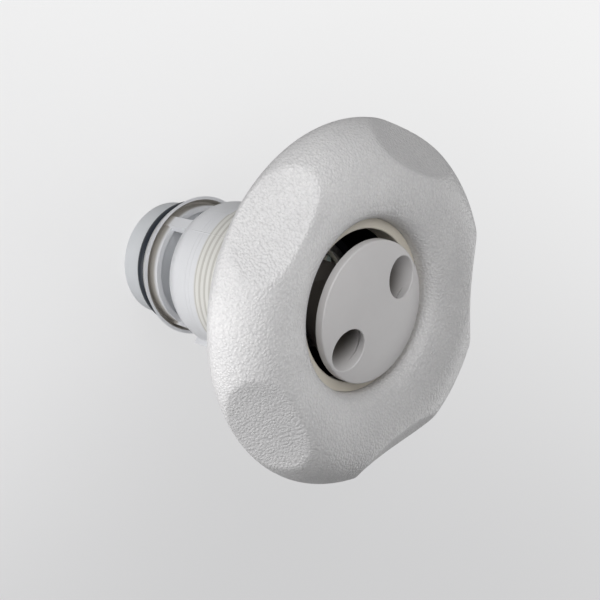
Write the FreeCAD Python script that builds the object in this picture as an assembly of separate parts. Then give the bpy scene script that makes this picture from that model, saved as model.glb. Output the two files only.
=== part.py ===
import FreeCAD, Part
import os
from math import cos, degrees, radians, sin, sqrt

# Hot tub jet with a spinning two-port nozzle, in millimetres.
# The jet's axis is Z. The tail's flat end, where the water comes in, is at Z = 0,
# and the face that the bather sees looks along +Z.

# Tail nozzle and its seal
tail_radius = 15.6
tail_length = 6.3
inlet_radius = 13.7
inlet_depth = 2.0
groove_width = 4.3
seal_cord = 3.5
seal_proud = 1.6
spigot_length = 3.4
spigot_bevel = 0.6
jet_radius = 4.2
jet_wall = 1.4
jet_end_gap = 3.0

# Barrel: tail flange, collar, air windows, shank and cup
flange_radius = 19.0
flange_draft = 1.5
flange_thickness = 2.8
flange_rim_width = 0.8
flange_dish = 1.9
collar_radius = 16.7
collar_wall = 1.4
collar_height = 2.1
window_height = 6.1
window_rib_width = 3.2
window_rib_setback = 0.3
window_rib_root = 1.2
window_rib_angles = (113.0, 237.0, 353.0)
barrel_rear_radius = 17.7
barrel_rear_round = 0.6
shank_radius = 19.3
shank_flare_length = 5.0
shank_wall = 1.9
shank_length = 23.4
cup_radius = 23.0
cup_wall = 1.9
cup_step_length = 3.0
cup_length = 16.5
cup_ledge = 2.9
mouth_wall = 2.2
throat_radius = 5.4
throat_wall = 1.5
throat_start = 15.0
throat_end_gap = 0.8
pocket_floor = 2.2
ridge_count = 4
ridge_pitch = 1.9
ridge_width = 1.1
ridge_height = 0.3
ridge_start = 13.0
land_height = 0.25
land_end_gap = 1.0
land_angles = (223.0, 349.0)
key_angle = 355.0
key_width = 5.0
key_height = 1.4
key_start = 2.2

# Ball bearing
bearing_width = 5.0
ball_count = 12
ball_radius = 1.5
ball_pitch_radius = 10.6
ball_play = 0.36
inner_shoulder_radius = 9.7
inner_bore_radius = 7.45
outer_shoulder_radius = 11.5
outer_race_radius = 13.8
pocket_play = 0.1
cage_wall = 1.2
cage_base = 0.5
cage_height = 3.2
race_edge = 0.3

# Bearing housing and the rings that keep the bearing in it
housing_wall = 1.7
housing_flange_thickness = 1.8
housing_floor = 1.8
hub_wall = 1.55
hub_lip = 1.2
race_stop = 1.4
snap_ring_thickness = 1.0
snap_ring_bite = 0.9
snap_ring_reach = 1.6
snap_ring_gap = 40.0
snap_ring_angle = 90.0
drain_count = 6
drain_angle = 30.0
drain_edge = 0.6
clip_thickness = 0.8
clip_bite = 0.5
clip_reach = 1.8
clip_gap = 70.0
clip_angle = 0.0
washer_thickness = 0.5
washer_width = 1.7

# Rotor: a domed disc on two slanting ducts and a hollow stem.
# The bearing's play lets it droop a little to one side, and the balls take half of that.
rotor_droop = 3.3
droop_towards = 48.0
rotor_radius = 17.8
rotor_edge = 2.1
rotor_rise = 3.45
rotor_dome_radius = 90.0
rotor_disc_wall = 2.3
rotor_edge_round = 0.4
rotor_back_lip = 1.6
port_radius = 4.9
port_circle_radius = 11.9
port_angle = 150.0
port_edge_round = 0.3
duct_root_radius = 3.2
duct_swirl = 38.0
duct_root_height = 4.5
duct_wall = 1.3
duct_bury = 0.6
stem_wall = 1.75
stem_tail = 1.0
stem_hub_radius = 9.0
stem_hub_height = 4.0
stem_hub_cone = 6.3

# Retainer ring that closes the housing
retainer_inner_radius = 18.8
retainer_height = 6.1
retainer_slope = 0.5
retainer_edge_round = 0.35

# Trim ring
trim_bore_radius = 21.5
rim_lead = 0.3
rim_radius = 43.4
belly_radius = 45.0
belly_height = 2.7
side_radius = 44.2
side_height = 6.6
shoulder_radius = 41.1
shoulder_height = 10.6
brow_radius = 36.6
brow_height = 13.0
crest_radius = 30.8
crest_height = 13.5
dip_radius = 24.8
dip_height = 11.8
lip_height = 9.2
lip_round = 1.0
trim_wall = 2.4
scallop_count = 5
scallop_phase = 36.0
scallop_depth = 3.3
scallop_slope = 44.0
scallop_radius = 90.0
scallop_edge_round = 2.0
rib_count = 10
rib_thickness = 1.4
rib_setback = 1.6
skirt_wall = 1.9
skirt_length = 8.0
finger_count = 3
finger_phase = 60.0
finger_width = 9.0
finger_slit = 1.0
finger_slit_length = 6.6
catch_width = 5.4
catch_height = 2.4
catch_depth = 1.1
catch_toe = 0.4
catch_land = 0.5
catch_setback = 1.6

# Clearances
fit = 0.05
slip = 0.2
run = 0.3

# Heights that follow from the sizes above
flange_rear_z = tail_length + groove_width
flange_front_z = flange_rear_z + flange_thickness
collar_front_z = flange_front_z + collar_height
barrel_rear_z = collar_front_z + window_height
shank_end_z = barrel_rear_z + shank_length
cup_floor_z = shank_end_z + cup_step_length + cup_wall / 2
cup_front_z = cup_floor_z + cup_length
housing_front_z = cup_front_z + housing_flange_thickness
rim_z = housing_front_z - rim_lead
bearing_rear_z = cup_floor_z + housing_floor
bearing_front_z = bearing_rear_z + bearing_width
bearing_mid_z = bearing_rear_z + bearing_width / 2
stem_rear_z = bearing_rear_z - clip_thickness - stem_tail
shoulder_z = bearing_front_z + washer_thickness
retainer_inner_z = housing_front_z + retainer_height
retainer_outer_z = retainer_inner_z - retainer_slope
rotor_rim_z = retainer_inner_z + rotor_rise
jet_end_z = barrel_rear_z - jet_end_gap

# Radii that follow from the fits
collar_bore_radius = collar_radius - collar_wall
spigot_radius = collar_bore_radius - fit
seal_seat_radius = tail_radius + seal_proud - seal_cord
hub_bore_radius = outer_race_radius + fit
hub_radius = hub_bore_radius + hub_wall
cup_bore_radius = cup_radius - cup_wall
housing_radius = cup_bore_radius - slip
housing_bore_radius = housing_radius - housing_wall
stem_radius = inner_bore_radius - fit
stem_bore_radius = stem_radius - stem_wall
retainer_radius = trim_bore_radius - slip / 2
skirt_bore_radius = cup_radius + slip
skirt_radius = skirt_bore_radius + skirt_wall

UP = FreeCAD.Vector(0, 0, 1)
CENTRE = FreeCAD.Vector(0, 0, 0)
TINY = 0.01
PAST = 5.0


def at(radius, z):
    """A point of a half section, in the XZ plane."""
    return FreeCAD.Vector(radius, 0, z)


def around(radius, angle, z):
    """A point at a radius and an angle in degrees about the jet's axis."""
    return FreeCAD.Vector(radius * cos(radians(angle)), radius * sin(radians(angle)), z)


def turned(shape, angle):
    """A copy of the shape, turned about the jet's axis."""
    copy = shape.copy()
    copy.rotate(CENTRE, UP, angle)
    return copy


def pattern(shape, count, phase=0.0):
    """Copies of the shape, evenly spaced about the jet's axis."""
    return [turned(shape, phase + i * 360.0 / count) for i in range(count)]


def drooped(shape, share=1.0):
    """The shape, tipped about the bearing's middle by a share of the rotor's droop."""
    across = around(1.0, droop_towards + 90.0, 0.0)
    copy = shape.copy()
    copy.rotate(at(0, bearing_mid_z), across, share * rotor_droop)
    return copy


def section(start, *steps):
    """A closed face in the XZ plane: a point is a line, a list of points is a curve.

    A list of two points is an arc through the first, and a longer list is a smooth curve."""
    edges = []
    here = at(*start)
    for step in steps:
        if isinstance(step, list):
            ends = [at(*p) for p in step]
            if len(ends) == 2:
                edges.append(Part.Arc(here, ends[0], ends[1]).toShape())
            else:
                curve = Part.BSplineCurve()
                curve.interpolate([here] + ends)
                edges.append(curve.toShape())
            here = ends[-1]
        else:
            edges.append(Part.LineSegment(here, at(*step)).toShape())
            here = at(*step)
    if here.distanceToPoint(at(*start)) > TINY:
        edges.append(Part.LineSegment(here, at(*start)).toShape())
    return Part.Face(Part.Wire(edges))


def revolved(start, *steps, span=360.0, middle=0.0):
    """The section turned about the jet's axis, over a span centred on an angle."""
    solid = section(start, *steps).revolve(CENTRE, UP, span)
    if span < 360.0:
        solid.rotate(CENTRE, UP, middle - span / 2)
    return solid


def tube(inner, outer, bottom, top):
    """A plain ring of rectangular section."""
    return revolved((inner, bottom), (outer, bottom), (outer, top), (inner, top))


def bevelled_ring(inner, outer, bottom, top, edge):
    """A ring of rectangular section with its four edges broken."""
    return revolved(
        (inner + edge, bottom), (outer - edge, bottom), (outer, bottom + edge), (outer, top - edge),
        (outer - edge, top), (inner + edge, top), (inner, top - edge), (inner, bottom + edge),
    )


def wedge(inner, outer, bottom, top, span, middle):
    """A sector of a ring, for slots and gaps."""
    return revolved((inner, bottom), (outer, bottom), (outer, top), (inner, top), span=span, middle=middle)


def block(inner, outer, width, bottom, top, angle):
    """A straight-sided block that points away from the axis."""
    box = Part.makeBox(outer - inner, width, top - bottom, FreeCAD.Vector(inner, -width / 2, bottom))
    return turned(box, angle)


def sagitta(bend, reach):
    """How far a curve of a given radius falls away over a reach."""
    return bend - sqrt(bend ** 2 - reach ** 2)


def round_corner(corner, size, before, after):
    """Steps that round a corner of a section: its start, then the arc to its end.

    before and after are unit steps away from the corner along its two sides."""
    start = (corner[0] + size * before[0], corner[1] + size * before[1])
    end = (corner[0] + size * after[0], corner[1] + size * after[1])
    centre = (start[0] + size * after[0], start[1] + size * after[1])
    pull = size / sqrt(2)
    middle = (centre[0] - pull * (before[0] + after[0]), centre[1] - pull * (before[1] + after[1]))
    return start, [middle, end]


def tail_nozzle():
    """The tail: a ring that carries the seal, and a cone that speeds the water up."""
    spigot_end_z = flange_rear_z + spigot_length
    cone_slope = (inlet_radius - jet_radius) / (jet_end_z - inlet_depth)
    cone_radius = jet_radius + jet_wall + cone_slope * (jet_end_z - spigot_end_z)
    return revolved(
        (inlet_radius, 0),
        (tail_radius, 0), (tail_radius, tail_length),
        (seal_seat_radius, tail_length), (seal_seat_radius, flange_rear_z),
        (spigot_radius, flange_rear_z), (spigot_radius, spigot_end_z - spigot_bevel),
        (spigot_radius - spigot_bevel, spigot_end_z), (cone_radius, spigot_end_z),
        (jet_radius + jet_wall, jet_end_z), (jet_radius, jet_end_z),
        (inlet_radius, inlet_depth),
    )


def tail_seal():
    """The rubber ring between the tail ring and the barrel's flange."""
    middle = flange_rear_z - groove_width / 2
    return Part.makeTorus(seal_seat_radius + seal_cord / 2, seal_cord / 2, FreeCAD.Vector(0, 0, middle), UP)


def barrel_shell():
    """The barrel's turned form: an outer tube and an inner mixing tube, joined at the rear edge."""
    rear = barrel_rear_z
    flare_z = rear + shank_flare_length
    half_rise = (shank_flare_length - barrel_rear_round) / 2
    spread = shank_radius - barrel_rear_radius
    flare_bend = (4 * half_rise ** 2 + spread ** 2) / (2 * spread)
    flare_middle = (shank_radius - sagitta(flare_bend, half_rise), flare_z - half_rise)
    tube_bore = shank_radius - shank_wall
    throat_z = rear + throat_start
    throat_outer = throat_radius + throat_wall
    throat_end_z = stem_rear_z - throat_end_gap
    edge_start, edge_arc = round_corner((barrel_rear_radius, rear), barrel_rear_round, (-1, 0), (0, 1))
    return revolved(
        (barrel_rear_radius - mouth_wall, rear),
        edge_start, edge_arc,
        [flare_middle, (shank_radius, flare_z)],
        (shank_radius, shank_end_z),
        (cup_radius, shank_end_z + cup_step_length),
        (cup_radius, cup_front_z),
        (cup_bore_radius, cup_front_z),
        (cup_bore_radius, cup_floor_z),
        (cup_bore_radius - cup_ledge, cup_floor_z),
        (tube_bore, cup_floor_z - cup_ledge),
        (tube_bore, flare_z), (tube_bore - pocket_floor, flare_z),
        (throat_outer, throat_z),
        (throat_outer, throat_end_z),
        (throat_radius, throat_end_z),
        (throat_radius, throat_z),
    )


def tail_flange():
    """The dished flange behind the seal, with the collar that stands up from it."""
    dish_z = flange_front_z - flange_dish
    return revolved(
        (collar_bore_radius, flange_rear_z),
        (flange_radius - flange_draft, flange_rear_z),
        (flange_radius, flange_front_z),
        (flange_radius - flange_rim_width, flange_front_z),
        (flange_radius - flange_rim_width - flange_dish / 2, dish_z),
        (collar_radius, dish_z),
        (collar_radius, collar_front_z),
        (collar_bore_radius, collar_front_z),
    )


def barrel():
    """The barrel, one moulding from the tail flange to the cup behind the trim ring."""
    body = barrel_shell().fuse(tail_flange())
    dish_z = flange_front_z - flange_dish
    ribs = [
        block(collar_bore_radius, barrel_rear_radius - window_rib_setback, window_rib_width,
              dish_z, barrel_rear_z + window_rib_root, angle)
        for angle in window_rib_angles
    ]
    first_ridge_z = barrel_rear_z + ridge_start
    ridges = [
        revolved(
            (shank_radius - fit, z), (shank_radius, z),
            [(shank_radius + ridge_height, z + ridge_width / 2), (shank_radius, z + ridge_width)],
            (shank_radius - fit, z + ridge_width),
        )
        for z in (first_ridge_z + i * ridge_pitch for i in range(ridge_count))
    ]
    land_span = land_angles[1] - land_angles[0]
    land = wedge(
        shank_radius - fit, shank_radius + land_height, barrel_rear_z + shank_flare_length,
        shank_end_z - land_end_gap, land_span, (land_angles[0] + land_angles[1]) / 2,
    )
    key_z = barrel_rear_z + key_start
    key = block(shank_radius - shank_wall / 2, shank_radius + key_height, key_width, key_z, shank_end_z, key_angle)
    catches = [catch(angle) for angle in finger_angles()]
    return body.multiFuse(ribs + ridges + [land, key] + catches).removeSplitter()


def finger_angles():
    """Where the trim ring's snap fingers stand."""
    return [finger_phase + i * 360.0 / finger_count for i in range(finger_count)]


def catch(angle):
    """One ramp on the cup that a snap finger's window drops over."""
    bottom = skirt_rear_z() + catch_setback + slip
    top = bottom + catch_height
    return revolved(
        (cup_radius - fit, bottom), (cup_radius + catch_toe, bottom),
        (cup_radius + catch_depth, top - catch_land), (cup_radius + catch_depth, top), (cup_radius - fit, top),
        span=degrees(catch_width / cup_radius), middle=angle,
    )


def skirt_rear_z():
    """Height of the trim ring's skirt at its rear end."""
    return housing_front_z - skirt_length


def bearing_housing():
    """The cup inside the barrel, with the hub that holds the ball bearing."""
    floor_z = cup_floor_z
    hub_front_z = bearing_front_z + snap_ring_thickness + hub_lip
    ring_front_z = bearing_front_z + snap_ring_thickness + slip / 2
    groove_radius = outer_race_radius + snap_ring_bite + fit
    body = revolved(
        (outer_race_radius - race_stop, floor_z),
        (housing_radius, floor_z), (housing_radius, cup_front_z),
        (cup_radius - slip / 2, cup_front_z), (cup_radius - slip / 2, housing_front_z),
        (housing_bore_radius, housing_front_z), (housing_bore_radius, bearing_rear_z),
        (hub_radius, bearing_rear_z), (hub_radius, hub_front_z),
        (hub_bore_radius, hub_front_z), (hub_bore_radius, ring_front_z),
        (groove_radius, ring_front_z), (groove_radius, bearing_front_z),
        (hub_bore_radius, bearing_front_z), (hub_bore_radius, bearing_rear_z),
        (outer_race_radius - race_stop, bearing_rear_z),
    )
    drain = wedge(
        hub_radius + drain_edge, housing_bore_radius - drain_edge,
        floor_z - PAST, bearing_rear_z + PAST, drain_angle, 0.0,
    )
    return body.cut(Part.Compound(pattern(drain, drain_count)))


def race_groove():
    """The ring-shaped space that the balls roll in."""
    return Part.makeTorus(
        ball_pitch_radius, ball_radius + ball_play, FreeCAD.Vector(0, 0, bearing_mid_z), UP)


def outer_race():
    ring = bevelled_ring(outer_shoulder_radius, outer_race_radius, bearing_rear_z, bearing_front_z, race_edge)
    return ring.cut(race_groove())


def inner_race():
    ring = bevelled_ring(inner_bore_radius, inner_shoulder_radius, bearing_rear_z, bearing_front_z, race_edge)
    return ring.cut(race_groove())


def ball_centres():
    return [around(ball_pitch_radius, i * 360.0 / ball_count, bearing_mid_z) for i in range(ball_count)]


def bearing_balls():
    """The balls, as one group of separate solids."""
    return Part.Compound([Part.makeSphere(ball_radius, centre) for centre in ball_centres()])


def ball_cage():
    """A crown cage: a ring whose pockets are open at the front, so that the balls snap in."""
    middle = ball_pitch_radius
    bottom = bearing_mid_z - ball_radius - pocket_play - cage_base
    ring = tube(middle - cage_wall / 2, middle + cage_wall / 2, bottom, bottom + cage_height)
    pockets = [Part.makeSphere(ball_radius + pocket_play, centre) for centre in ball_centres()]
    return ring.cut(Part.Compound(pockets))


def split_ring(inner, outer, bottom, top, gap, angle):
    """A flat ring with a gap, so that it can spring."""
    return wedge(inner, outer, bottom, top, 360.0 - gap, angle + 180.0)


def race_snap_ring():
    """Holds the outer race in the hub."""
    outer = outer_race_radius + snap_ring_bite
    inner = outer - snap_ring_bite - snap_ring_reach
    return split_ring(
        inner, outer, bearing_front_z, bearing_front_z + snap_ring_thickness, snap_ring_gap,
        snap_ring_angle)


def stem_clip():
    """Holds the inner race on the rotor's stem."""
    inner = stem_radius - clip_bite
    return split_ring(
        inner, inner + clip_bite + clip_reach, bearing_rear_z - clip_thickness, bearing_rear_z, clip_gap,
        clip_angle)


def wear_washer():
    """Lies between the inner race and the rotor's shoulder."""
    return tube(inner_bore_radius, inner_bore_radius + washer_width, bearing_front_z, shoulder_z)


def dome_height(radius):
    """Height of the rotor's domed face at a radius."""
    return rotor_rim_z + sagitta(rotor_dome_radius, rotor_radius) - sagitta(rotor_dome_radius, radius)


def duct_ends(angle):
    """The centre of a duct at its root in the stem and at its port in the face."""
    root = around(duct_root_radius, angle - duct_swirl, shoulder_z + duct_root_height)
    port = around(port_circle_radius, angle, dome_height(port_circle_radius))
    return root, port


def duct(angle, radius, start_past, end_past):
    """A round bar along a duct, run on past its two ends."""
    root, port = duct_ends(angle)
    along = (port - root).normalize()
    length = port.distanceToPoint(root) + start_past + end_past
    return Part.makeCylinder(radius, length, root - along * start_past, along)


def rotor():
    """The spinning nozzle, one moulding: domed disc, two slanting ducts and hollow stem."""
    back_z = rotor_rim_z - rotor_edge
    dome_centre = at(0, dome_height(0) - rotor_dome_radius)
    disc = Part.makeCylinder(rotor_radius, rotor_edge + PAST, at(0, back_z), UP)
    disc = disc.common(Part.makeSphere(rotor_dome_radius, dome_centre))
    rim = [edge for edge in disc.Edges if abs(edge.CenterOfMass.z - rotor_rim_z) < TINY]
    disc = disc.makeFillet(rotor_edge_round, rim)
    hollow = Part.makeCylinder(rotor_radius - rotor_back_lip, rotor_edge + PAST, at(0, back_z), UP)
    disc = disc.cut(hollow.common(Part.makeSphere(rotor_dome_radius - rotor_disc_wall, dome_centre)))
    hub_top_z = shoulder_z + stem_hub_height
    stem = revolved(
        (0, stem_rear_z),
        (stem_radius - clip_bite, stem_rear_z), (stem_radius, stem_rear_z + clip_bite),
        (stem_radius, bearing_rear_z - clip_thickness - fit),
        (stem_radius - clip_bite - fit, bearing_rear_z - clip_thickness - fit),
        (stem_radius - clip_bite - fit, bearing_rear_z),
        (stem_radius, bearing_rear_z), (stem_radius, shoulder_z),
        (stem_hub_radius, shoulder_z), (stem_hub_radius, hub_top_z),
        (0, hub_top_z + stem_hub_cone),
    )
    angles = (port_angle, port_angle + 180.0)
    ceiling = Part.makeCylinder(rotor_radius, back_z + duct_bury - shoulder_z, at(0, shoulder_z), UP)
    legs = [duct(angle, port_radius + duct_wall, 0.0, PAST).common(ceiling) for angle in angles]
    body = disc.multiFuse([stem] + legs)
    root_z = duct_ends(port_angle)[0].z
    taper = stem_bore_radius / 2
    chamber = revolved(
        (0, stem_rear_z - PAST), (stem_bore_radius, stem_rear_z - PAST), (stem_bore_radius, root_z),
        (stem_bore_radius - taper, root_z + taper), (0, root_z + taper),
    )
    bores = [duct(angle, port_radius, 0.0, PAST) for angle in angles]
    body = body.cut(chamber.multiFuse(bores))
    ports = [duct_ends(angle)[1] for angle in angles]
    port_edges = [
        edge for edge in body.Edges
        if edge.BoundBox.ZMin > rotor_rim_z
        and any(edge.CenterOfMass.distanceToPoint(port) < port_radius / 2 for port in ports)
    ]
    return body.makeFillet(port_edge_round, port_edges)


def retainer_ring():
    """The pale ring round the rotor, which clamps the housing in the barrel."""
    edge_start, edge_arc = round_corner(
        (retainer_inner_radius, retainer_inner_z), retainer_edge_round, (1, 0), (0, -1))
    return revolved(
        (retainer_inner_radius, housing_front_z),
        (retainer_radius, housing_front_z), (retainer_radius, retainer_outer_z),
        edge_start, edge_arc,
    )


def skin_points(inset):
    """The trim ring's curved outside, or the same curve moved inwards by a wall."""
    points = (
        (rim_radius, 0.0, 0.0),
        (belly_radius, belly_height, 0.0),
        (side_radius, side_height, 22.0),
        (shoulder_radius, shoulder_height, 50.0),
        (brow_radius, brow_height, 74.0),
        (crest_radius, crest_height, 94.0),
        (dip_radius, dip_height, 112.0),
    )
    return [
        (radius - inset * cos(radians(facing)), rim_z + height - inset * sin(radians(facing)))
        for radius, height, facing in points
    ]


def scallops(inset):
    """The shallow round cuts in the trim ring's shoulder, or the same moved inwards by a wall."""
    slope = radians(scallop_slope)
    outward = (sin(slope), cos(slope))
    floor = (side_radius - scallop_depth, rim_z + side_height)
    shift = scallop_radius - inset
    length = 4 * crest_height
    start = FreeCAD.Vector(
        floor[0] + outward[0] * shift - outward[1] * length / 2, 0,
        floor[1] + outward[1] * shift + outward[0] * length / 2)
    cutter = Part.makeCylinder(
        scallop_radius, length, start, FreeCAD.Vector(outward[1], 0, -outward[0]))
    return Part.Compound(pattern(cutter, scallop_count, scallop_phase))


def trim_ring():
    """The textured ring that the bather turns: a hollow, ribbed moulding with snap fingers."""
    outside = skin_points(0.0)
    rear_z = skirt_rear_z()
    lip_z = rim_z + lip_height
    body = revolved(
        outside[0],
        outside[1:] + [(trim_bore_radius + lip_round, lip_z + lip_round), (trim_bore_radius, lip_z - lip_round)],
        (trim_bore_radius, housing_front_z),
        (skirt_bore_radius, housing_front_z), (skirt_bore_radius, rear_z),
        (skirt_radius, rear_z), (skirt_radius, rim_z),
    )
    body = body.cut(scallops(0.0))
    scallop_edges = [
        edge for edge in body.Edges
        if edge.isClosed() and edge.BoundBox.ZLength > scallop_depth and edge.BoundBox.ZMin > rim_z
    ]
    body = body.makeFillet(scallop_edge_round, scallop_edges)
    inside = skin_points(trim_wall)
    hollow = revolved(
        inside[0],
        inside[1:-1] + [(skirt_radius, inside[-1][1])],
        (skirt_radius, rim_z - PAST), (inside[0][0], rim_z - PAST),
    )
    hollow = hollow.cut(scallops(trim_wall))
    rib = block(skirt_radius - TINY, rim_radius, rib_thickness, rim_z + rib_setback, rim_z + crest_height, 0.0)
    hollow = hollow.cut(Part.Compound(pattern(rib, rib_count)))
    body = body.cut(hollow)
    cuts = []
    for angle in finger_angles():
        window_z = rear_z + catch_setback
        cuts.append(block(cup_radius, skirt_radius + PAST, catch_width + 2 * slip,
                          window_z, window_z + catch_height + 2 * slip, angle))
        for side in (-1, 1):
            turn = degrees(side * finger_width / 2 / skirt_radius)
            cuts.append(block(cup_radius, skirt_radius + PAST, finger_slit,
                              rear_z - PAST, rear_z + finger_slit_length, angle + turn))
    return body.cut(Part.Compound(cuts))


pieces = {
    "trim_ring": trim_ring,
    "retainer_ring": retainer_ring,
    "barrel": barrel,
    "bearing_housing": bearing_housing,
    "tail_nozzle": tail_nozzle,
    "tail_seal": tail_seal,
    "outer_race": outer_race,
    "race_snap_ring": race_snap_ring,
    "bearing_balls": lambda: drooped(bearing_balls(), 0.5),
    "ball_cage": lambda: drooped(ball_cage(), 0.5),
    "inner_race": lambda: drooped(inner_race()),
    "wear_washer": lambda: drooped(wear_washer()),
    "stem_clip": lambda: drooped(stem_clip()),
    "rotor": lambda: drooped(rotor()),
}

os.makedirs("parts", exist_ok=True)
for name, make in pieces.items():
    shape = make()
    solids = shape.Solids
    shape = solids[0] if len(solids) == 1 else Part.Compound(solids)
    shape.exportStep(os.path.join("parts", name + ".step"))
    print(f"{name:16s} solids {len(solids):2d} valid {shape.isValid()} volume {shape.Volume / 1000:8.3f} cm3")
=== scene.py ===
from math import cos, pi, radians, sin

import bmesh
import bpy
import numpy as np
from mathutils import Matrix, Vector


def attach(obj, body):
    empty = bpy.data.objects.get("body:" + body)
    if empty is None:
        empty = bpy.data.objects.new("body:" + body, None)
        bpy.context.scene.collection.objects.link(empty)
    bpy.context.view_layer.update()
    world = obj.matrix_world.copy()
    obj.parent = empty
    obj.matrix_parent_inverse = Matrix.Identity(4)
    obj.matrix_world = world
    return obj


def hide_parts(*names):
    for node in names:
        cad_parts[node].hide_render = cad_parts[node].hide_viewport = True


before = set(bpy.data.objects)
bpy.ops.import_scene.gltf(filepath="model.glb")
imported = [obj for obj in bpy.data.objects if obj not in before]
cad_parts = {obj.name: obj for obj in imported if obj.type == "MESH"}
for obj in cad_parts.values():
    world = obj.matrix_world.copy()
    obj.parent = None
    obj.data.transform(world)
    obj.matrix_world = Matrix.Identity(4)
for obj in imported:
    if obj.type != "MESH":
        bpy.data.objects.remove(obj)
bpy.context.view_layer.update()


# The view: a long lens that looks down on the face from the side that the bather stands at.
# The jet stands on its tail, and the picture is rolled so that the tail points to the left.

def aim(name, data, place, right, up):
    """An object at a place in millimetres, turned so that its own X and Y lie along right and up."""
    across = Vector(right).normalized()
    back = across.cross(Vector(up)).normalized()
    turn = Matrix((across, back.cross(across), back)).transposed().to_4x4()
    made = bpy.data.objects.new(name, data)
    bpy.context.scene.collection.objects.link(made)
    made.matrix_world = Matrix.Translation(Vector(place) / 1000) @ turn
    return made


picture_right = (-0.24937, 0.66906, 0.70013)
picture_up = (-0.96841, -0.17228, -0.18028)
towards_camera = (0.0, -0.72297, 0.69088)

lens = bpy.data.cameras.new("lens")
lens.lens = 78.0
lens.sensor_width = 36.0
lens.clip_start = 0.01
bpy.context.scene.camera = aim("camera", lens, (2.369, -237.223, 279.899), picture_right, picture_up)
bpy.context.scene.view_settings.view_transform = "Standard"


# The studio: two small soft lamps near the jet, left of the camera and in front, and a large one behind.
# The surroundings are white. They give a dim, even fill, and the camera sees them brighter.

lamps_face = Vector((0.0, 0.0, 45.0))
sky_fill = 0.19
sky_shown = 0.55


def soft_lamp(name, side, lift, nearness, distance, size, watts):
    """A square lamp in a direction given by the picture's own right, up and depth."""
    out = side * Vector(picture_right) + lift * Vector(picture_up) + nearness * Vector(towards_camera)
    out.normalize()
    data = bpy.data.lights.new(name, "AREA")
    data.size = size
    data.energy = watts
    across = Vector((0, 0, 1)).cross(out).normalized()
    aim(name, data, lamps_face + out * distance, across, out.cross(across))


soft_lamp("left_lamp", side=-0.64, lift=-0.31, nearness=0.71, distance=125.0, size=0.1, watts=0.072)
soft_lamp("front_lamp", side=0.17, lift=0.29, nearness=0.94, distance=195.0, size=0.12, watts=0.16)
soft_lamp("back_lamp", side=0.74, lift=-0.19, nearness=-0.65, distance=500.0, size=0.5, watts=1.3)


class Wire:
    """A socket that takes part in arithmetic, so that wire * 2 + other adds its Math nodes."""

    def __init__(self, tree, socket=None):
        self.tree = tree
        self.socket = socket

    def node(self, kind, settings=None, inputs=None, output=0):
        """A new node: its settings first, then the values or links of its sockets."""
        made = self.tree.nodes.new(kind)
        for name, value in (settings or {}).items():
            setattr(made, name, value)
        for key, value in (inputs or {}).items():
            if isinstance(value, Wire):
                self.tree.links.new(value.socket, made.inputs[key])
            else:
                made.inputs[key].default_value = value
        return Wire(self.tree, made.outputs[output])

    def other(self, output):
        """Another output of the node that this one comes from."""
        return Wire(self.tree, self.socket.node.outputs[output])

    def along(self, axis):
        """The X, Y or Z of a place."""
        return self.node("ShaderNodeSeparateXYZ", None, {0: self}, output=axis)

    def maths(self, operation, *others):
        """A Math node with this value first."""
        return self.node("ShaderNodeMath", {"operation": operation}, dict(enumerate((self, *others))))

    def __add__(self, value):
        return self.maths("ADD", value)

    __radd__ = __add__

    def __mul__(self, value):
        return self.maths("MULTIPLY", value)

    __rmul__ = __mul__

    def __sub__(self, value):
        return self.maths("SUBTRACT", value)

    def __rsub__(self, value):
        return self.node("ShaderNodeMath", {"operation": "SUBTRACT"}, {0: value, 1: self})

    def __truediv__(self, value):
        return self.maths("DIVIDE", value)

    def __rtruediv__(self, value):
        return self.node("ShaderNodeMath", {"operation": "DIVIDE"}, {0: value, 1: self})

    def __pow__(self, value):
        return self.maths("POWER", value)

    def band(self, low, high):
        """0 below low, 1 above high, and smooth between them."""
        settings = {"interpolation_type": "SMOOTHSTEP"}
        return self.node("ShaderNodeMapRange", settings, {"Value": self, 1: low, 2: high, 3: 0.0, 4: 1.0})

    def between(self, low, low_full, high_full, high):
        """1 from low_full to high_full, 0 below low and above high, and smooth where it changes."""
        return self.band(low, low_full) * (1.0 - self.band(high_full, high))

    def mix(self, first, second):
        """A colour that goes from first to second as this value goes from 0 to 1."""
        sockets = {0: self, 6: first, 7: second}
        return self.node("ShaderNodeMix", {"data_type": "RGBA"}, sockets, output=2)

    def noise(self, place, size, detail=2.0, roughness=0.5):
        """Soft noise whose grains are about that many millimetres across."""
        sockets = {"Vector": place, "Scale": 1000.0 / size, "Detail": detail, "Roughness": roughness}
        return self.node("ShaderNodeTexNoise", None, sockets)

    def pebbles(self, place, size, smoothness):
        """Rounded pebbles about that many millimetres across, high at their middles."""
        settings = {"feature": "SMOOTH_F1"}
        sockets = {"Vector": place, "Scale": 1000.0 / size, "Smoothness": smoothness}
        return 1.0 - self.node("ShaderNodeTexVoronoi", settings, sockets)


surroundings = bpy.data.worlds.new("surroundings")
surroundings.use_nodes = True
sky = surroundings.node_tree.nodes["Background"]
sky.inputs["Color"].default_value = (1.0, 1.0, 1.0, 1.0)
bpy.context.scene.world = surroundings
seen = Wire(surroundings.node_tree).node("ShaderNodeLightPath", output="Is Camera Ray")
sky_light = seen * sky_shown + sky_fill
surroundings.node_tree.links.new(sky_light.socket, sky.inputs["Strength"])


# The floor: plain, pale paper that the jet stands on.
# For the camera it glows a little and fades from near white at the top to light grey at the bottom.

floor_reach = 1.6
fade_top, fade_bottom = -0.16, 0.11
glow_strength = 1.15
glow_share = 0.7


def ink(red, green, blue):
    """A colour read off a screen, from 0 to 255, as the shader wants it."""
    def linear(v):
        v /= 255.0
        return v / 12.92 if v <= 0.04045 else ((v + 0.055) / 1.055) ** 2.4
    return (linear(red), linear(green), linear(blue), 1.0)


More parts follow.
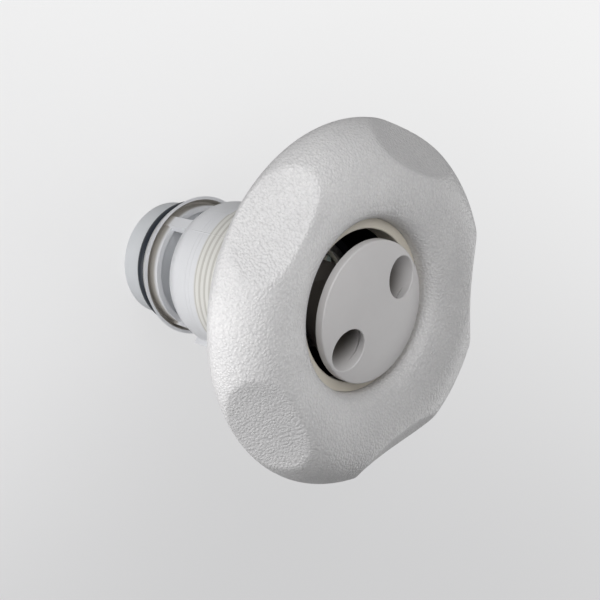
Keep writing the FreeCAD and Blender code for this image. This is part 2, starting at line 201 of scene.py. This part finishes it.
def finish(name):
    """A new material, a wire to draw its nodes from, and the place on the piece."""
    made = bpy.data.materials.new(name)
    made.use_nodes = True
    wire = Wire(made.node_tree)
    place = wire.node("ShaderNodeTexCoord", output="Object")
    return made, wire, place


def coat(material, colour, roughness, normal=None, **steady):
    """Sets the finish's shader: colour, roughness and normal may be wires, the rest are numbers."""
    shader = material.node_tree.nodes["Principled BSDF"]
    for key, value in (("Base Color", colour), ("Roughness", roughness), ("Normal", normal)):
        if isinstance(value, Wire):
            material.node_tree.links.new(value.socket, shader.inputs[key])
        elif value is not None:
            shader.inputs[key].default_value = value
    for key, value in steady.items():
        shader.inputs[key.replace("_", " ")].default_value = value


floor_corners = [(x * floor_reach, y * floor_reach, 0) for x, y in ((-1, -1), (1, -1), (1, 1), (-1, 1))]
floor_mesh = bpy.data.meshes.new("floor")
floor_mesh.from_pydata(floor_corners, [], [(0, 1, 2, 3)])
floor = bpy.data.objects.new("floor", floor_mesh)
bpy.context.scene.collection.objects.link(floor)

paper, wire, place = finish("pale_paper")
fade = place.along("X").band(fade_top, fade_bottom)
shown = fade.mix(ink(255, 255, 255), ink(212, 212, 213))
coat(paper, (0.75, 0.75, 0.75, 1.0), 0.9, Specular_IOR_Level=0.0)
glow = wire.node("ShaderNodeEmission", None, {"Color": shown, "Strength": glow_strength})
seen = wire.node("ShaderNodeLightPath", output="Is Camera Ray")
lit = Wire(paper.node_tree, paper.node_tree.nodes["Principled BSDF"].outputs[0])
blended = wire.node("ShaderNodeMixShader", None, {0: seen * glow_share, 1: lit, 2: glow})
paper.node_tree.links.new(blended.socket, paper.node_tree.nodes["Material Output"].inputs["Surface"])
floor_mesh.materials.append(paper)


# The trim ring: the white ring that the bather turns, one hollow moulding with a pebbled skin.
# Five shallow scallops give the fingers a grip, ribs stiffen its back, and snap fingers hold it on.
# Its profile, in millimetres, is turned about the axis and then pushed in where the scallops are.

rim_z = 66.95
rim_width = 2.4
skirt_bore, skirt_radius = 23.2, 25.1
skirt_rear = 59.25
slit_top = skirt_rear + 6.6
bore_radius = 21.5
bore_top = rim_z + 7.6
seat_z = 67.25
outline = ((43.4, 0.0), (45.0, 2.7), (44.2, 6.6), (41.1, 10.6), (36.6, 13.0), (30.8, 13.5), (24.8, 11.8),
           (22.5, 10.2), (21.5, 8.2))
facing = (0.0, 0.0, 22.0, 50.0, 74.0, 94.0)
skirt_skin, skirt_facing = 11.8, 112.0
skin_rows, hollow_rows = 61, 45
rib_half = 0.7
rib_root_out, rib_root_up = 1.2, 0.9
rib_end = rim_z + 1.6
slit_width, finger_width, window_width = 1.0, 9.0, 5.8
window_low, window_high = skirt_rear + 1.6, skirt_rear + 4.4
finger_pitch = 120.0
skirt_steps = 24
rounding_guard = 0.001


def relief(wire, height, depth):
    """A bump of that many millimetres."""
    sockets = {"Strength": 1.0, "Distance": depth / 1000, "Height": height}
    return wire.node("ShaderNodeBump", None, sockets)


def about_axis(place):
    """A place's height along the jet, its distance from the axis and its angle about it."""
    x, y = place.along("X"), place.along("Y")
    return place.along("Z"), (x ** 2.0 + y ** 2.0) ** 0.5, y.maths("ARCTAN2", x)


def smooth_line(points, count):
    """The natural cubic through the points, at even steps."""
    points = np.array(points, float)
    knots = np.concatenate([[0.0], np.cumsum(np.linalg.norm(np.diff(points, axis=0), axis=1))])
    gaps = np.diff(knots)
    size = len(points)
    left = np.eye(size)
    right = np.zeros((size, 2))
    for i in range(1, size - 1):
        left[i, i - 1:i + 2] = gaps[i - 1], 2 * (gaps[i - 1] + gaps[i]), gaps[i]
        right[i] = 6 * ((points[i + 1] - points[i]) / gaps[i] - (points[i] - points[i - 1]) / gaps[i - 1])
    bends = np.linalg.solve(left, right)
    result = []
    for s in np.linspace(0.0, knots[-1], count):
        i = min(int(np.searchsorted(knots, s, side="right")) - 1, size - 2)
        a, b, h = knots[i + 1] - s, s - knots[i], gaps[i]
        value = (bends[i] * a ** 3 + bends[i + 1] * b ** 3) / (6 * h)
        value += (points[i] / h - bends[i] * h / 6) * a + (points[i + 1] / h - bends[i + 1] * h / 6) * b
        result.append(value)
    return result


def mesh_piece(name, corners, faces, values=None):
    """A mesh from corners in millimetres, with a number for each corner kept as its wall."""
    mesh = bpy.data.meshes.new(name)
    mesh.from_pydata([tuple(v / 1000 for v in corner) for corner in corners], [], faces)
    if values is not None:
        mesh.attributes.new("wall", "FLOAT", "POINT").data.foreach_set("value", [v / 1000 for v in values])
    made = bpy.data.objects.new(name, mesh)
    bpy.context.scene.collection.objects.link(made)
    return made


def straight(start, end, count):
    """Points along a straight side, without its last."""
    steps = np.linspace(0.0, 1.0, count + 1)[:-1]
    return [tuple(np.array(start) + (np.array(end) - np.array(start)) * s) for s in steps]


skin = smooth_line([(r, rim_z + z) for r, z in outline], skin_rows)
inner_outline = [
    (r - rim_width * cos(radians(turn)), rim_z + z - rim_width * sin(radians(turn)))
    for (r, z), turn in zip(outline, facing)
]
ceiling_z = rim_z + skirt_skin - rim_width * sin(radians(skirt_facing))
hollow = smooth_line(inner_outline + [(skirt_radius, ceiling_z)], hollow_rows)
bore_corners = (
    (bore_radius, bore_top), (bore_radius, seat_z), (skirt_bore, seat_z),
    (skirt_bore, slit_top), (skirt_radius, slit_top), (skirt_radius, ceiling_z),
)
bore_steps = (4, 1, 2, 1, 6)
turned = [tuple(p) for p in skin]
for start, end, steps in zip(bore_corners, bore_corners[1:], bore_steps):
    turned += straight(start, end, steps)
walls = [0.0] * len(turned)
turned += [tuple(p) for p in reversed(hollow)]
walls += [rim_width] * len(hollow)
turned.append(turned[0])
walls.append(0.0)
profile = mesh_piece("trim_profile", [(r, 0.0, z) for r, z in turned], [], walls)

rib_rows = [(max(r + rib_root_out, skirt_radius), z + rib_root_up) for r, z in hollow]
rib_corners = [(r, side * rib_half, z) for side in (-1, 1) for r, z in rib_rows]
rib_corners += [(r, side * rib_half, rib_end) for side in (-1, 1) for r, z in rib_rows]
count = len(rib_rows)
rib_faces = []
for i in range(count - 1):
    top_a, top_b, low_a, low_b = i, i + count, i + 2 * count, i + 3 * count
    rib_faces.append((top_a, top_a + 1, top_b + 1, top_b))
    rib_faces.append((low_a, low_b, low_b + 1, low_a + 1))
    rib_faces.append((top_a, low_a, low_a + 1, top_a + 1))
    rib_faces.append((top_b, top_b + 1, low_b + 1, low_b))
rib = mesh_piece("trim_rib", rib_corners, rib_faces, [rim_width / 2] * len(rib_corners))


def curved_blocks(inner, outer, spans, steps):
    """Blocks of a ring: each span is its bottom, top, first and last angle."""
    corners, faces = [], []
    for bottom, top, first, last in spans:
        start = len(corners)
        for angle in np.radians(np.linspace(first, last, steps + 1)):
            for radius, z in ((inner, bottom), (outer, bottom), (outer, top), (inner, top)):
                corners.append((radius * cos(angle), radius * sin(angle), z))
        for i in range(steps):
            for k in range(4):
                a, b = start + 4 * i + k, start + 4 * i + (k + 1) % 4
                faces.append((a, b, b + 4, a + 4))
        end = start + 4 * steps
        faces.append((start + 3, start + 2, start + 1, start))
        faces.append((end, end + 1, end + 2, end + 3))
    return corners, faces


slit_half = np.degrees(slit_width / 2 / skirt_radius)
finger_half = np.degrees(finger_width / 2 / skirt_radius)
window_half = np.degrees(window_width / 2 / skirt_radius)
skirt_spans = (
    (skirt_rear, slit_top, finger_half + slit_half, finger_pitch - finger_half - slit_half),
    (skirt_rear, slit_top, window_half, finger_half - slit_half),
    (skirt_rear, slit_top, slit_half - finger_half, -window_half),
    (skirt_rear, window_low, -window_half, window_half),
    (window_high, slit_top, -window_half, window_half),
)
skirt_corners, skirt_faces = curved_blocks(skirt_bore, skirt_radius, skirt_spans, skirt_steps)
skirt = mesh_piece("trim_skirt", skirt_corners, skirt_faces)

pebbled, wire, place = finish("pebbled_white_plastic")
grains = wire.pebbles(place, size=0.62, smoothness=0.4)
bumpy = grains * 0.8 + wire.noise(place, size=0.35, detail=1.0) * 0.3
clouds = wire.noise(place, size=14.0)
tone = (clouds * 0.5 + bumpy * 0.5).band(0.3, 0.85)
coat(pebbled, tone.mix(ink(214, 213, 214), ink(231, 230, 230)), 0.36 - bumpy * 0.1,
     relief(wire, bumpy, depth=0.24), IOR=1.49)

tree = bpy.data.node_groups.new("trim_ring_form", "GeometryNodeTree")
tree.interface.new_socket(name="Geometry", in_out="OUTPUT", socket_type="NodeSocketGeometry")
tree.interface.new_socket(name="Geometry", in_out="INPUT", socket_type="NodeSocketGeometry")
form_sizes = {
    "Columns": ("NodeSocketInt", 721), "Rows": ("NodeSocketInt", len(turned)),
    "Scallops": ("NodeSocketInt", 5), "First scallop": ("NodeSocketFloat", radians(36.0)),
    "Floor radius": ("NodeSocketFloat", 0.0409), "Floor height": ("NodeSocketFloat", (rim_z + 6.6) / 1000),
    "Scallop slope": ("NodeSocketFloat", radians(44.0)), "Scallop radius": ("NodeSocketFloat", 0.090),
    "Edge softness": ("NodeSocketFloat", 0.0004), "Ribs": ("NodeSocketInt", 10),
    "Fingers": ("NodeSocketInt", 3), "First finger": ("NodeSocketFloat", radians(60.0)),
}
for name, (kind, value) in form_sizes.items():
    tree.interface.new_socket(name=name, in_out="INPUT", socket_type=kind).default_value = value
wire = Wire(tree)
given = wire.node("NodeGroupInput")
sizes = {name: given.other(name) for name in form_sizes}
grid = wire.node("GeometryNodeMeshGrid", None,
                 {"Vertices X": sizes["Columns"], "Vertices Y": sizes["Rows"]})
index = wire.node("GeometryNodeInputIndex")
column = (index / sizes["Rows"] + rounding_guard).maths("FLOOR")
row = index - column * sizes["Rows"]
sweep = column / (sizes["Columns"] - 1) * (2 * pi)
own_place = wire.node("GeometryNodeInputPosition")
own_wall = wire.node("GeometryNodeInputNamedAttribute", {"data_type": "FLOAT"}, {"Name": "wall"})
drawn = wire.node("GeometryNodeSampleIndex", {"data_type": "FLOAT_VECTOR"},
                  {"Geometry": given, "Value": own_place, "Index": row})
drawn_wall = wire.node("GeometryNodeSampleIndex", {"data_type": "FLOAT"},
                       {"Geometry": given, "Value": own_wall, "Index": row})
from_axis = drawn.along("X")
spun = wire.node("ShaderNodeCombineXYZ", None, {
    "X": from_axis * sweep.maths("COSINE"), "Y": from_axis * sweep.maths("SINE"), "Z": drawn.along("Z")})
body = wire.node("GeometryNodeSetPosition", None, {"Geometry": grid, "Position": spun})
body = wire.node("GeometryNodeStoreNamedAttribute", {"data_type": "FLOAT", "domain": "POINT"},
                 {"Geometry": body, "Name": "wall", "Value": drawn_wall})
body = wire.node("GeometryNodeMergeByDistance", None, {"Geometry": body, "Distance": 0.000002})


def spread(wire, source, copies, first):
    """Copies of another mesh, evenly spaced about the jet's axis."""
    shape = wire.node("GeometryNodeObjectInfo", None, {"Object": source}, output="Geometry")
    line = wire.node("GeometryNodeMeshLine", None, {"Count": copies, "Offset": (0.0, 0.0, 0.0)})
    turn = wire.node("GeometryNodeInputIndex") / copies * (2 * pi) + first
    spin = wire.node("ShaderNodeCombineXYZ", None, {"Z": turn})
    placed = wire.node("GeometryNodeInstanceOnPoints", None,
                       {"Points": line, "Instance": shape, "Rotation": spin})
    return wire.node("GeometryNodeRealizeInstances", None, {"Geometry": placed})


def together(wire, *parts):
    """Several shapes as one."""
    joined = wire.node("GeometryNodeJoinGeometry")
    for part in parts:
        wire.tree.links.new(part.socket, joined.socket.node.inputs[0])
    return joined


ribbed = together(wire, body, spread(wire, rib, sizes["Ribs"], 0.0))
height, radius, angle = about_axis(own_place)
pitch = (2 * pi) / sizes["Scallops"]
turns = (angle - sizes["First scallop"]) / pitch
folded = (turns - turns.maths("ROUND")) * pitch
near_x = radius * folded.maths("COSINE")
near_y = radius * folded.maths("SINE")
slope = sizes["Scallop slope"]
out_x, out_z = slope.maths("SINE"), slope.maths("COSINE")
shift = sizes["Scallop radius"] - own_wall
along = (near_x - sizes["Floor radius"]) * out_x + (height - sizes["Floor height"]) * out_z - shift
distance = (along ** 2.0 + near_y ** 2.0) ** 0.5
inside = sizes["Scallop radius"] - distance
soft = sizes["Edge softness"]
blend = (soft - inside.maths("ABSOLUTE")).maths("MAXIMUM", 0.0)
push = inside.maths("MAXIMUM", 0.0) + blend ** 2.0 / (4.0 * soft)
new_x = near_x + along / distance * out_x * push
new_y = near_y + near_y / distance * push
new_z = height + along / distance * out_z * push
back = angle - folded
turn_cos, turn_sin = back.maths("COSINE"), back.maths("SINE")
moved = wire.node("ShaderNodeCombineXYZ", None, {
    "X": new_x * turn_cos - new_y * turn_sin, "Y": new_x * turn_sin + new_y * turn_cos, "Z": new_z})
scalloped = wire.node("GeometryNodeSetPosition", None, {"Geometry": ribbed, "Position": moved})
whole = together(wire, scalloped, spread(wire, skirt, sizes["Fingers"], sizes["First finger"]))
dressed = wire.node("GeometryNodeSetMaterial", None, {"Geometry": whole, "Material": pebbled})
outlet = tree.nodes.new("NodeGroupOutput")
tree.links.new(dressed.socket, outlet.inputs[0])


def face_outwards(mesh, sharp):
    """Turns a closed mesh's faces outwards, smooths it and keeps edges over an angle sharp."""
    work = bmesh.new()
    work.from_mesh(mesh)
    bmesh.ops.recalc_face_normals(work, faces=work.faces)
    work.to_mesh(mesh)
    work.free()
    mesh.polygons.foreach_set("use_smooth", [True] * len(mesh.polygons))
    mesh.set_sharp_from_angle(angle=radians(sharp))


def grown(source, group, name, sharp):
    """The plain mesh that a node tree makes, facing outwards, with its hard edges marked."""
    modifier = source.modifiers.new("form", "NODES")
    modifier.node_group = group
    bpy.context.view_layer.update()
    evaluated = source.evaluated_get(bpy.context.evaluated_depsgraph_get())
    mesh = bpy.data.meshes.new_from_object(evaluated)
    mesh.name = name
    made = bpy.data.objects.new(name, mesh)
    bpy.context.scene.collection.objects.link(made)
    face_outwards(mesh, sharp)
    source.modifiers.clear()
    return made


trim_ring = grown(profile, tree, "trim_ring_skin", sharp=35.0)
for helper in (profile, rib, skirt):
    bpy.data.objects.remove(helper)
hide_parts("trim_ring")
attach(trim_ring, "shell")


# The retainer ring: a pale, smooth ring round the spinning nozzle, pressed over the housing's end.
# It is moulded in a warmer white than the trim ring and shows as a step inside its lip.

cream, wire, place = finish("smooth_cream_plastic")
haze = wire.noise(place, size=6.0, detail=3.0)
coat(cream, haze.mix(ink(228, 221, 207), ink(236, 230, 217)), 0.32 + haze * 0.12,
     relief(wire, wire.noise(place, size=0.4), depth=0.01), IOR=1.49)


def dress(node, material):
    """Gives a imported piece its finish."""
    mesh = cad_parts[node].data
    mesh.materials.clear()
    mesh.materials.append(material)


dress("retainer_ring", cream)


# The spinning nozzle: a pale grey disc with two slanting ports, moulded in one with its hollow stem.
# Its face is smooth with faint moulding clouds, and painted shade darkens the ports deeper in.
# It droops a little on the slack of its bearing.

port_dark_z, port_mouth_z = 0.0695, 0.0775

pale_grey, wire, place = finish("pale_grey_plastic")
clouds = wire.noise(place, size=9.0, detail=3.0, roughness=0.6)
# Painted shade: the port walls turn dark taupe deeper in, where shadow falls inside them.
port_painted_shade = 1.0 - place.along("Z").band(port_dark_z, port_mouth_z)
face_grey = clouds.mix(ink(214, 212, 212), ink(223, 221, 221))
coat(pale_grey, port_painted_shade.mix(face_grey, ink(104, 99, 94)), 0.34 + clouds * 0.1,
     relief(wire, wire.noise(place, size=0.6), depth=0.01), IOR=1.49)
dress("rotor", pale_grey)


# The bearing housing: a cup inside the barrel, seen only as blackness round the nozzle.
# It is a plain satin moulding with drain slots in its floor, coloured near-black as painted shade.

# Painted shade: near black, standing in for the deep shadow in the gap round the nozzle.
housing_shade_black, wire, place = finish("painted_shade_black_satin")
grain = wire.noise(place, size=1.2, detail=3.0)
coat(housing_shade_black, grain.mix(ink(15, 14, 22), ink(21, 20, 29)), 0.55 + grain * 0.1,
     relief(wire, grain, depth=0.015), IOR=1.4)
dress("bearing_housing", housing_shade_black)


# The ball bearing: two acetal races and a crown cage round twelve glass balls.
# The balls roll in the races' grooves, and the cage keeps them apart.
# A washer of the same plastic takes the wear under the nozzle's shoulder.

waxy, wire, place = finish("waxy_acetal")
grain = wire.noise(place, size=2.0, detail=3.0)
coat(waxy, grain.mix(ink(226, 222, 208), ink(236, 233, 222)), 0.4 + grain * 0.1,
     relief(wire, grain, depth=0.01), IOR=1.48)
for node in ("outer_race", "inner_race", "ball_cage", "wear_washer"):
    dress(node, waxy)

glassy, wire, place = finish("green_ball_glass")
swirl = wire.noise(place, size=1.5)
coat(glassy, swirl.mix(ink(176, 196, 188), ink(200, 214, 208)), 0.06 + swirl * 0.04, IOR=1.52)
dress("bearing_balls", glassy)


# The snap ring and the clip: flat rings of stainless spring steel, cut open so that they spring.
# One holds the outer race in the hub, and the other holds the inner race on the nozzle's stem.

steel, wire, place = finish("stainless_spring_steel")
brushed = wire.node("ShaderNodeMapping", None, {"Vector": place, "Scale": (1.0, 1.0, 12.0)})
lines = wire.noise(brushed, size=0.5, detail=3.0)
coat(steel, lines.mix(ink(176, 177, 180), ink(206, 207, 209)), 0.25 + lines * 0.15,
     relief(wire, lines, depth=0.004), Metallic=1.0)
for node in ("race_snap_ring", "stem_clip"):
    dress(node, steel)


# The barrel: one smooth white moulding, from the dished tail flange and its three ribs to the cup.
# Grip ridges and a raised land round its shank locate it in the wall fitting.
# The mould left a fine line along it. Painted shade darkens the grooves between the ridges and the
# flange's dish.

first_ridge_z = 0.0346
ridge_pitch = 0.0019
ridge_share = 0.58
ridge_rows = 4
ridge_edge, ridge_fade = 0.1, 0.5
dish_inner, dish_outer = 0.0166, 0.0182
dish_low, dish_high = 0.0112, 0.0152
dish_edge, dish_fade = 0.0002, 0.0015
mould_line = radians(245.5)
mould_line_width = 0.00018
mould_line_start, mould_line_full = 0.0255, 0.0265
tool_marks = (0.0244, 0.0305, 0.0319)
tool_mark_half = 0.0001

white, wire, place = finish("smooth_white_plastic")
clouds = wire.noise(place, size=8.0)
height, radius, angle = about_axis(place)
row = (height - first_ridge_z) / ridge_pitch
on_ridges = row.between(-ridge_fade, -ridge_edge, ridge_rows + ridge_edge, ridge_rows + ridge_fade)
groove = row.maths("FRACT").band(ridge_share - ridge_edge, ridge_share + ridge_edge) * on_ridges
across_dish = radius.between(dish_inner - dish_edge, dish_inner, dish_outer - dish_edge, dish_outer)
up_dish = height.between(dish_low - dish_edge, dish_low, dish_high - dish_fade, dish_high)
# Painted shade: the grooves between the ridges and the flange's dish are darkened where shadow falls in
# them.
painted_shade = (groove * 0.5 + across_dish * up_dish * 0.9).maths("MINIMUM", 1.0)
warm = on_ridges.mix(clouds.mix(ink(230, 231, 234), ink(237, 238, 241)), ink(233, 232, 227))
turn = (angle - (mould_line - 2 * pi)).maths("ABSOLUTE")
line = (1.0 - (turn * radius).band(0.0, mould_line_width)) * height.band(mould_line_start, mould_line_full)
raised = line * 0.7 + wire.noise(place, size=0.5) * 0.1
for mark in tool_marks:
    raised = raised + height.band(mark - tool_mark_half, mark + tool_mark_half)
# The taupe here is the colour of the painted shade in the grooves and the dish.
coat(white, painted_shade.mix(warm, ink(170, 165, 157)), 0.3 + clouds * 0.1,
     relief(wire, raised, depth=0.07), IOR=1.49)
dress("barrel", white)


# The tail nozzle: a plain light grey ring behind the seal, pressed into the barrel's collar.
# Its cone speeds the water up before it meets the air.

grey, wire, place = finish("light_grey_plastic")
clouds = wire.noise(place, size=7.0)
coat(grey, clouds.mix(ink(220, 223, 226), ink(228, 230, 233)), 0.34 + clouds * 0.1,
     relief(wire, wire.noise(place, size=0.5), depth=0.01), IOR=1.49)
dress("tail_nozzle", grey)


# The seal: a black rubber ring in the groove between the tail ring and the flange.
# It has the faint bloom and dust of moulded rubber.

rubber, wire, place = finish("black_rubber")
bloom = wire.noise(place, size=3.0, detail=3.0)
coat(rubber, bloom.mix(ink(22, 29, 40), ink(33, 42, 54)), 0.3 + bloom * 0.15,
     relief(wire, wire.noise(place, size=0.3), depth=0.012), IOR=1.52)
dress("tail_seal", rubber)
